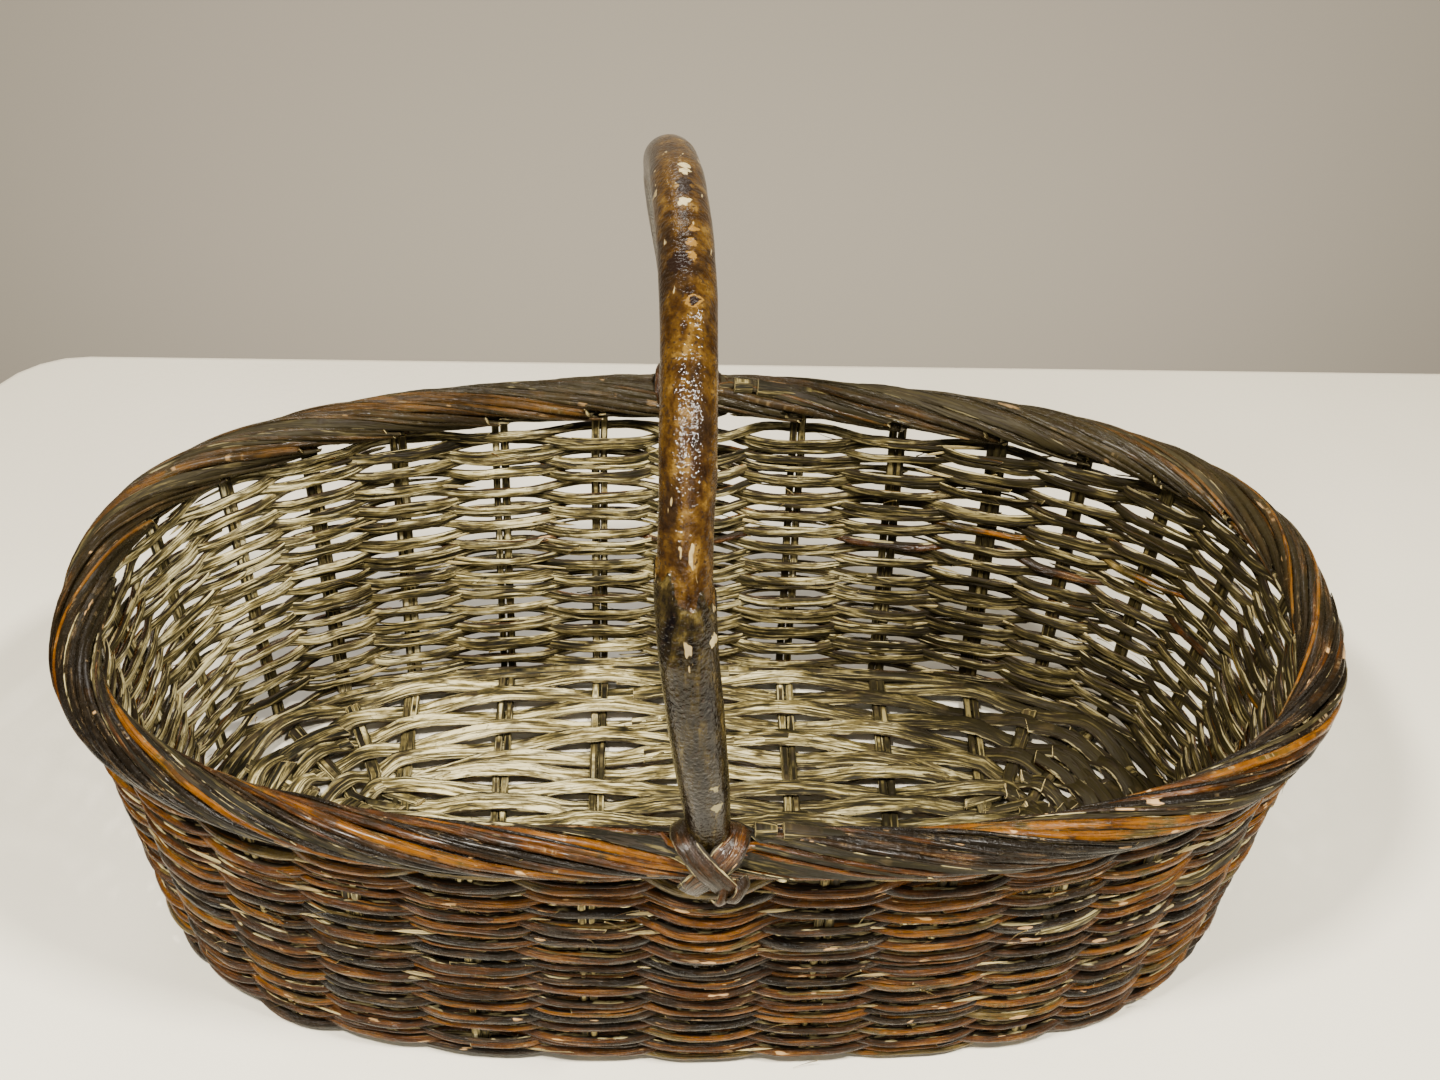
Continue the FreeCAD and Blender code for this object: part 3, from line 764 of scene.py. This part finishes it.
def make_border(material):
    """Rolled border of thin rods, in five pieces."""
    bundles = [Bundle() for _ in range(5)]
    for strand in range(STAKE_COUNT):
        bundle = bundles[strand % 5]
        length = rng.uniform(5.6, 6.5)
        if rng.random() < 0.45:
            border_rod(bundle, strand, -0.28, rng.uniform(0.0026, 0.0032), 0.0098, length)
            border_rod(bundle, strand, 0.27, rng.uniform(0.0023, 0.0029), 0.0102, length * 0.95)
        else:
            border_rod(bundle, strand, -0.38, rng.uniform(0.0017, 0.0022), 0.0108, length)
            border_rod(bundle, strand, 0.0, rng.uniform(0.0022, 0.0027), 0.0103, length)
            border_rod(bundle, strand, 0.38, rng.uniform(0.0017, 0.0021), 0.0109, length * 0.9)
        border_rod(bundle, strand, rng.uniform(-0.4, 0.4), rng.uniform(0.0026, 0.0032), 0.0064, length)
        border_rod(bundle, strand, rng.uniform(-0.5, 0.5), rng.uniform(0.0009, 0.0013), 0.0121, length * 0.6)
    for piece, bundle in enumerate(bundles):
        nodes = ["border_rods_%02d" % (number + 1) for number in (piece, piece + 5)]
        bundle.make("border_%d_rods" % (piece + 1), material, nodes, "border_willow")


# ---------------------------------------------------------------- base

def base_oval(row):
    """Centre line of one of the rows that run round the base."""
    inset = 0.0193 + row * ROUND_ROW_PITCH
    return Oval(BASE_LENGTH - 2 * inset, BASE_WIDTH - 2 * inset, BASE_EXPONENT - 0.12 * row)


def make_laths(material):
    """Straight laths of the middle panel, woven over the cross sticks."""
    bundle = Bundle()
    for index in range(LATH_COUNT):
        side = 1.0 if index % 2 == 0 else -1.0
        y = (index - (LATH_COUNT - 1) / 2) * LATH_PITCH
        left = -LATH_LENGTH / 2 - rng.uniform(-0.004, 0.006)
        right = LATH_LENGTH / 2 + rng.uniform(-0.004, 0.010)
        x = np.linspace(left, right, 90)
        z = BASE_MID_Z + side * BASE_SWING * np.cos(math.pi * x / STAKE_PITCH)
        path = np.stack([x, y + wander(x * 60, 0.0007), z + wander(x * 50, 0.0002)], axis=1)
        width = rng.uniform(0.0056, 0.0061) * (1 + wander(x * 90, 0.05))
        bundle.add_rod(path, -UP, width, 0.0020, SPLIT, rng.uniform(0.3, 1.0), slant=rng.uniform(0.0, 0.3))
    bundle.make("base_laths_rods", material, ["base_laths"], "lath_willow")


def make_base_rows(material):
    """Rods that run round the base outside the laths, in a left and a right piece."""
    for name, first in (("base_rows_right", FRONT_STAKE), ("base_rows_left", BACK_STAKE)):
        bundle = Bundle()
        for row in range(ROUND_ROWS):
            side = 1.0 if row % 2 == 0 else -1.0
            oval = base_oval(row)
            jog = rng.uniform(-0.6, 0.6)
            stake = np.linspace(first - 0.5 + jog, first + 15.4 + jog, 260)
            x, y = oval.at(stake)
            at_end = np.clip((np.abs(x) - 0.19) / 0.05, 0, 1)
            z = BASE_MID_Z + side * (BASE_SWING + 0.0012 * at_end) * np.cos(math.pi * stake)
            z = z + at_end * 0.0022
            rough = wander(stake, 0.0010) + at_end * wander(stake, 0.0028, shortest=0.8)
            path = np.stack([x, y, z], axis=1)
            outward = unit(np.stack([x, y * 3, 0 * x], axis=1))
            path += outward * rough[:, None]
            width = rng.uniform(0.0056, 0.0061) * (1 + wander(stake, 0.06)) * (1 - 0.20 * at_end)
            thick = 0.0020 + 0.0010 * at_end
            bundle.add_rod(path, -UP, width, thick, SPLIT, rng.uniform(0.1, 0.9))
        stake = np.linspace(first - 0.4, first + 15.2, 220)
        x, y = base_oval(-0.55).at(stake)
        path = np.stack([x, y, 0.0075 + wander(stake, 0.0008)], axis=1)
        bundle.add_rod(path, UP, 0.0036 * (1 + wander(stake, 0.08)), 0.0030, PEELED, 0.3)
        end = 1.0 if first == FRONT_STAKE else -1.0
        for _ in range(22):
            bundle_loop(bundle, end)
        bundle.make(name + "_rods", material, [name], "lath_willow")


def bundle_loop(bundle, end):
    """Thick rod bent round inside one end of the base."""
    reach = rng.uniform(0.012, 0.088)
    centre_x = rng.uniform(0.176, 0.196)
    first = rng.uniform(-1.5, -0.5)
    turn = np.linspace(first, first + rng.uniform(1.2, 2.6), 26)
    x = centre_x + reach * 0.95 * np.cos(turn) + wander(turn * 3, 0.0020)
    y = reach * 1.15 * np.sin(turn) + wander(turn * 3, 0.0020)
    z = 0.0088 + 0.0032 * np.sin(turn * rng.uniform(3, 6) + rng.uniform(0, 6))
    path = np.stack([end * x, y, z], axis=1)
    width = rng.uniform(0.0036, 0.0052) * (1 + wander(turn * 4, 0.10))
    bundle.add_rod(path, -UP, width, width * rng.uniform(0.55, 0.8), SPLIT, rng.uniform(0.0, 0.5), slant=0.4)


def make_cross_sticks(material):
    """Pairs of sticks across the base."""
    bundle = Bundle()
    for index in range(-SIDE_STAKES, SIDE_STAKES + 1):
        for side in (-1, 1):
            x = index * STAKE_PITCH + side * rng.uniform(0.0022, 0.0026)
            share = (1 - abs(2 * x / BASE_LENGTH) ** BASE_EXPONENT) ** (1 / BASE_EXPONENT)
            half = BASE_WIDTH / 2 * share - 0.012
            y = np.linspace(-half, half, 24)
            path = np.stack([x + wander(y * 40, 0.0005), y, 0 * y + BASE_MID_Z], axis=1)
            bundle.add_rod(path, UP * rng.choice([-1, 1]), rng.uniform(0.0021, 0.0025), 0.0020,
                           PEELED, rng.uniform(0.2, 0.9))
    bundle.make("base_cross_sticks_rods", material, ["base_cross_sticks"], "stake_willow")


def make_fans(material):
    """Sticks spreading from the middle panel under the rows at each end."""
    for name, stakes in (("base_fan_right", range(4, 12)), ("base_fan_left", range(19, 27))):
        bundle = Bundle()
        for stake in stakes:
            for side in (-1, 1):
                points = []
                for row in (0, 2, 4, 5):
                    x, y = base_oval(row).at(np.array(stake + side * 0.05))
                    points.append([float(x), float(y), BASE_MID_Z + 0.001])
                inner = np.array(points[-1]) * [0.86, 0.72, 1.0]
                path = smooth_path(points + [inner], 16)
                bundle.add_rod(path, UP, rng.uniform(0.0024, 0.0032), 0.0022, PEELED,
                               rng.uniform(0.1, 0.7), slant=0.5)
        bundle.make(name + "_rods", material, [name], "stake_willow")


# ---------------------------------------------------------------- handle

def bow_points():
    """Points on the handle's centre line, from the front tip to the back tip."""
    half_span = RIM_WIDTH / 2 - BORDER_RADIUS
    points = [
        [BOW_FRONT_X, wall_point(FRONT_STAKE, BOW_FOOT_Z)[1], BOW_FOOT_Z],
        [BOW_FRONT_X, wall_point(FRONT_STAKE, 0.130)[1], 0.130],
        [BOW_FRONT_X - 0.001, -half_span, RIM_TOP]]
    for degrees, lean in BOW_LEANS:
        turn = math.radians(degrees)
        square = abs(math.cos(turn)) ** BOW_SQUARENESS + math.sin(turn) ** BOW_SQUARENESS
        square = square ** (1 / BOW_SQUARENESS)
        points.append([lean, -half_span * math.cos(turn) / square,
                       ARCH_MIDDLE_Z + BOW_ARCH * math.sin(turn) / square])
    points += [
        [BOW_BACK_X - 0.001, half_span, RIM_TOP],
        [BOW_BACK_X, wall_point(BACK_STAKE, 0.130)[1], 0.130],
        [BOW_BACK_X, wall_point(BACK_STAKE, BOW_FOOT_Z)[1], BOW_FOOT_Z]]
    return points


# Knots on the handle rod: distance along it, turn round it, and how far they stand out
HANDLE_KNOTS = (
    (0.415, -1.2, 0.0020), (0.345, 0.5, 0.0013), (0.27, -2.2, 0.0012),
    (0.60, 1.8, 0.0018), (0.78, -0.6, 0.0016))


def make_handle(material):
    """Bent rod with knots, lumps and a ragged bark sleeve low on the front leg."""
    count, corners = 560, 56
    path = smooth_path(bow_points(), count)
    tangent = unit(np.gradient(path, axis=0))
    level = unit(np.array([1.0, 0, 0]) - tangent * tangent[:, :1])
    other = np.cross(tangent, level)
    run = np.concatenate([[0], np.cumsum(np.linalg.norm(np.diff(path, axis=0), axis=1))])
    turn = np.arange(corners) * 2 * math.pi / corners
    height = path[:, 2][:, None]
    bare = leg_radius(height)
    sleeved = sleeve_radius(height)
    ragged = SLEEVE_TOP + 0.011 * np.maximum(0, -np.cos(turn)) + 0.003 * np.sin(turn * 5)
    ragged = ragged + 0.002 * np.sin(turn * 11)
    below = np.clip((ragged[None] - height) / 0.0014, 0, 1) * (path[:, 1] < 0)[:, None]
    radius = bare + (sleeved - bare) * below
    lumps = wander(run * 40, 0.022)[:, None] + wander(run * 70, 0.020)[:, None] * np.cos(turn + 1)[None]
    lumps = lumps + 0.02 * np.sin(turn * 5 + run[:, None] * 30) * below
    radius = radius * (1 + lumps + 0.03 * np.cos(2 * turn)[None])
    for knot_run, knot_turn, size in HANDLE_KNOTS:
        gap = np.abs(np.mod(turn - knot_turn + math.pi, 2 * math.pi) - math.pi)[None]
        radius = radius + size * np.exp(-((run[:, None] - knot_run) / 0.006) ** 2 - (gap / 0.45) ** 2)
    rings = (path[:, None] + level[:, None] * (radius * np.cos(turn))[..., None]
             + other[:, None] * (radius * np.sin(turn))[..., None])
    fibre = np.stack([run[:, None] * np.ones(corners), np.ones((count, 1)) * turn * 0.01,
                      0 * radius], axis=-1)
    skin = np.stack([below, 0 * radius + 0.5, 0 * radius], axis=-1)
    bundle = Bundle()
    bundle.add_grid(rings, fibre, skin)
    bundle.make("handle_bow_rod", material, ["handle_bow"], "bow_wood")


# Paths of a lashing band and its knot: sideways, outward from the leg, above the border's middle
BAND_PATH = (
    (-0.0090, -0.0120, -0.0020), (-0.0125, -0.0085, 0.0090), (-0.0130, 0.0010, 0.0157),
    (-0.0095, 0.0100, 0.0145), (-0.0020, 0.0158, 0.0082), (0.0060, 0.0178, 0.0000),
    (0.0105, 0.0165, -0.0080))
KNOT_PATH = (
    (0.0060, 0.0180, -0.0090), (0.0105, 0.0215, -0.0060), (0.0140, 0.0190, -0.0010),
    (0.0125, 0.0150, 0.0030))


# Bands of one lashing: path, sideways lean, lift off the border and half-width
LASHING_BANDS = (
    (BAND_PATH, -1.0, 0.0004, 0.0064),
    (BAND_PATH, 1.0, 0.0024, 0.0060),
    (KNOT_PATH, 1.0, 0.0010, 0.0034),
    (KNOT_PATH, 0.4, 0.0022, 0.0026))


def make_lashing(material, name, stake, x, side):
    """Flat willow bands crossing over the border on the outside of a handle foot."""
    bundle = Bundle()
    centre = border_centre(np.array(stake))
    centre[0] = x
    for points, lean, lift, half_width in LASHING_BANDS:
        row = smooth_path(np.array(points) * [lean, side, 1.0], 44)
        outward = unit(row * [0.45, 1.0, 1.0])
        half = half_width * (1 + wander(np.linspace(0, 6, 44), 0.08))
        bundle.add_rod(centre + row + outward * lift, outward, half, 0.0012, SPLIT,
                       rng.uniform(0.22, 0.30), slant=0.4)
    bundle.make(name + "_bands", material, [name], "lashing_willow")


def make_peg(material, name, x, side):
    """Cut butts of two thick rods lying in the border beside a handle foot."""
    bundle = Bundle()
    y = side * (RIM_WIDTH / 2 - BORDER_RADIUS - 0.004)
    for start, length, radius in ((0.0, 0.010, 0.0052), (0.013, 0.046, 0.0056)):
        t = np.linspace(0, 1, 12)
        run = start + length * t
        path = np.stack([x + run, y + 0 * t, 0.2135 - 0.11 * run - 0.9 * run ** 2], axis=1)
        bundle.add_rod(path, UP, radius * (1 - 0.2 * t), radius * 0.95 * (1 - 0.2 * t), PEELED,
                       rng.uniform(0.0, 0.3), end=0.42)
    bundle.make(name + "_rod", material, [name], "peg_wood")


# ---------------------------------------------------------------- surroundings

def plain(name, near_colour, far_colour, roughness, patch):
    """Slightly uneven painted or laminate surface, darker from front to back with painted shade."""
    g = Graph(name)
    cloud = g.between(g.noise(g.place(), patch, 3.0), 0.35, 0.65, -0.08, 0.08)
    depth = g.new("ShaderNodeSeparateXYZ")
    g.link(g.place(), depth.inputs[0])
    # Painted shade: the far colour takes over towards the back, standing in for the room's light falling off
    share = g.math("ADD", cloud, g.between(depth.outputs[1], -0.35, 0.45), True)
    colour = g.mix(share, (*near_colour, 1), (*far_colour, 1))
    fine = g.noise(g.place(), 260.0, 3.0)
    return g.finish(colour, roughness, fine, 0.0002)


def plain_mesh(name, points, faces, material):
    """Object in the room made of a few flat faces."""
    mesh = bpy.data.meshes.new(name)
    mesh.from_pydata(points, [], faces)
    mesh.materials.append(material)
    thing = bpy.data.objects.new(name, mesh)
    bpy.context.scene.collection.objects.link(thing)
    return thing


def make_wall(material):
    """Back wall of the room, a plain box between two opposite corners."""
    ranges = list(zip(WALL_LOW, WALL_HIGH))
    corners = [(x, y, z) for x in ranges[0] for y in ranges[1] for z in ranges[2]]
    faces = [(0, 1, 3, 2), (4, 6, 7, 5), (0, 4, 5, 1), (2, 3, 7, 6), (0, 2, 6, 4), (1, 5, 7, 3)]
    plain_mesh("room_wall", corners, faces, material)


def make_table(material):
    """White table top with rounded back corners."""
    outline = [(-0.50, -1.4), (1.67, -1.4)]
    for corner_x, first in ((1.60, 0), (-0.43, 90)):
        for step in range(7):
            turn = math.radians(first + 15 * step)
            outline.append((corner_x + 0.07 * math.cos(turn), 0.380 + 0.07 * math.sin(turn)))
    count = len(outline)
    points = [(x, y, 0.0) for x, y in outline] + [(x, y, -0.03) for x, y in outline]
    faces = [list(range(count)), list(range(2 * count - 1, count - 1, -1))]
    faces += [[i, (i + 1) % count, (i + 1) % count + count, i + count] for i in range(count)]
    table = plain_mesh("table", points, [face[::-1] for face in faces[2:]] + faces[:2], material)
    bevel = table.modifiers.new("edge", "BEVEL")
    bevel.width = 0.005
    bevel.segments = 3


def make_room():
    """White table with its far edge, and the grey wall behind."""
    # The table's far colour is painted shade towards its back edge
    make_table(plain("table_white", (0.96, 0.91, 0.76), (0.58, 0.53, 0.42), 0.30, 3.0))
    make_wall(plain("wall_grey", (0.38, 0.33, 0.26), (0.36, 0.315, 0.25), 0.8, 5.0))


def placed(right, up, back, place):
    """Matrix that stands a lamp or camera at a place, with its three directions."""
    rows = [[right[axis], up[axis], back[axis], place[axis]] for axis in range(3)]
    return Matrix(rows + [[0, 0, 0, 1]])


def area_light(name, place, target, size, power, colour):
    """Soft rectangular light aimed at a point."""
    data = bpy.data.lights.new(name, "AREA")
    data.shape = "RECTANGLE"
    data.size, data.size_y = size
    data.energy = power
    data.color = colour
    lamp = bpy.data.objects.new(name, data)
    bpy.context.scene.collection.objects.link(lamp)
    away = unit(np.array(place, float) - np.array(target, float))
    side = unit(np.cross([0, 0.01, 1.0], away))
    up = np.cross(away, side)
    lamp.matrix_world = placed(side, up, away, place)


def make_lights():
    """Two ceiling panels, a weak fill from the front and the back, and one lamp on the wall."""
    area_light("ceiling_left", (-0.65, -0.72, 1.95), LIGHT_TARGET, (0.30, 0.14), 86, (1.0, 0.95, 0.86))
    area_light("ceiling_right", (0.75, -0.62, 1.95), LIGHT_TARGET, (0.30, 0.14), 80, (1.0, 0.96, 0.88))
    area_light("room_fill", (0.1, -2.4, 2.0), LIGHT_TARGET, (1.4, 0.7), 16, (1.0, 0.96, 0.89))
    area_light("wall_wash", (0.1, 1.2, -1.5), (0.1, 2.4, -1.1), (2.4, 0.4), 25, (1.0, 0.97, 0.91))
    area_light("room_back", (-0.3, 2.1, 1.9), LIGHT_TARGET, (1.2, 0.6), 22, (1.0, 0.96, 0.89))
    world = bpy.data.worlds.new("room")
    world.use_nodes = True
    background = world.node_tree.nodes["Background"]
    background.inputs[0].default_value = (0.92, 0.90, 0.84, 1)
    background.inputs[1].default_value = 0.30
    bpy.context.scene.world = world


def make_camera():
    """Camera above the front edge, looking down into the basket."""
    yaw, pitch, roll = (math.radians(degrees) for degrees in CAMERA_TURNS)
    ahead = np.array([math.sin(yaw) * math.cos(pitch), math.cos(yaw) * math.cos(pitch),
                      -math.sin(pitch)])
    level = np.array([math.cos(yaw), -math.sin(yaw), 0.0])
    upright = np.cross(level, ahead)
    right = level * math.cos(roll) + upright * math.sin(roll)
    up = upright * math.cos(roll) - level * math.sin(roll)
    data = bpy.data.cameras.new("camera")
    data.lens = CAMERA_LENS
    data.sensor_width = 36.0
    data.clip_start = 0.02
    camera = bpy.data.objects.new("camera", data)
    bpy.context.scene.collection.objects.link(camera)
    camera.matrix_world = placed(right, up, -ahead, CAMERA_PLACE)
    bpy.context.scene.camera = camera


def make_basket():
    """Every piece of the basket."""
    weave = willow("split_willow", painted_side_light=0.24)
    border = willow("border_willow", bark_shift=-0.23, wood_shift=-0.42, painted_side_light=0.08, painted_back_shade=0.6)
    stake = willow("stake_willow", wood_shift=-0.12, gloss=0.6)
    lath = willow("lath_willow", wood_shift=0.06, painted_side_light=0.34, painted_end_shade=0.40)
    lashing = willow("lashing_willow", wood_shift=-0.1, shine=0.35)
    make_side_weave(weave)
    make_foot(weave)
    make_stakes(stake)
    make_border(border)
    make_laths(lath)
    make_base_rows(lath)
    make_cross_sticks(stake)
    make_fans(stake)
    make_handle(bow_bark("handle_bark"))
    make_lashing(lashing, "handle_lashing_front", FRONT_STAKE, BOW_FRONT_X, -1.0)
    make_lashing(lashing, "handle_lashing_back", BACK_STAKE, BOW_BACK_X, 1.0)
    make_peg(stake, "handle_peg_front", PEG_FRONT_X, -1.0)
    make_peg(stake, "handle_peg_back", PEG_BACK_X, 1.0)


make_basket()
make_room()
make_lights()
make_camera()
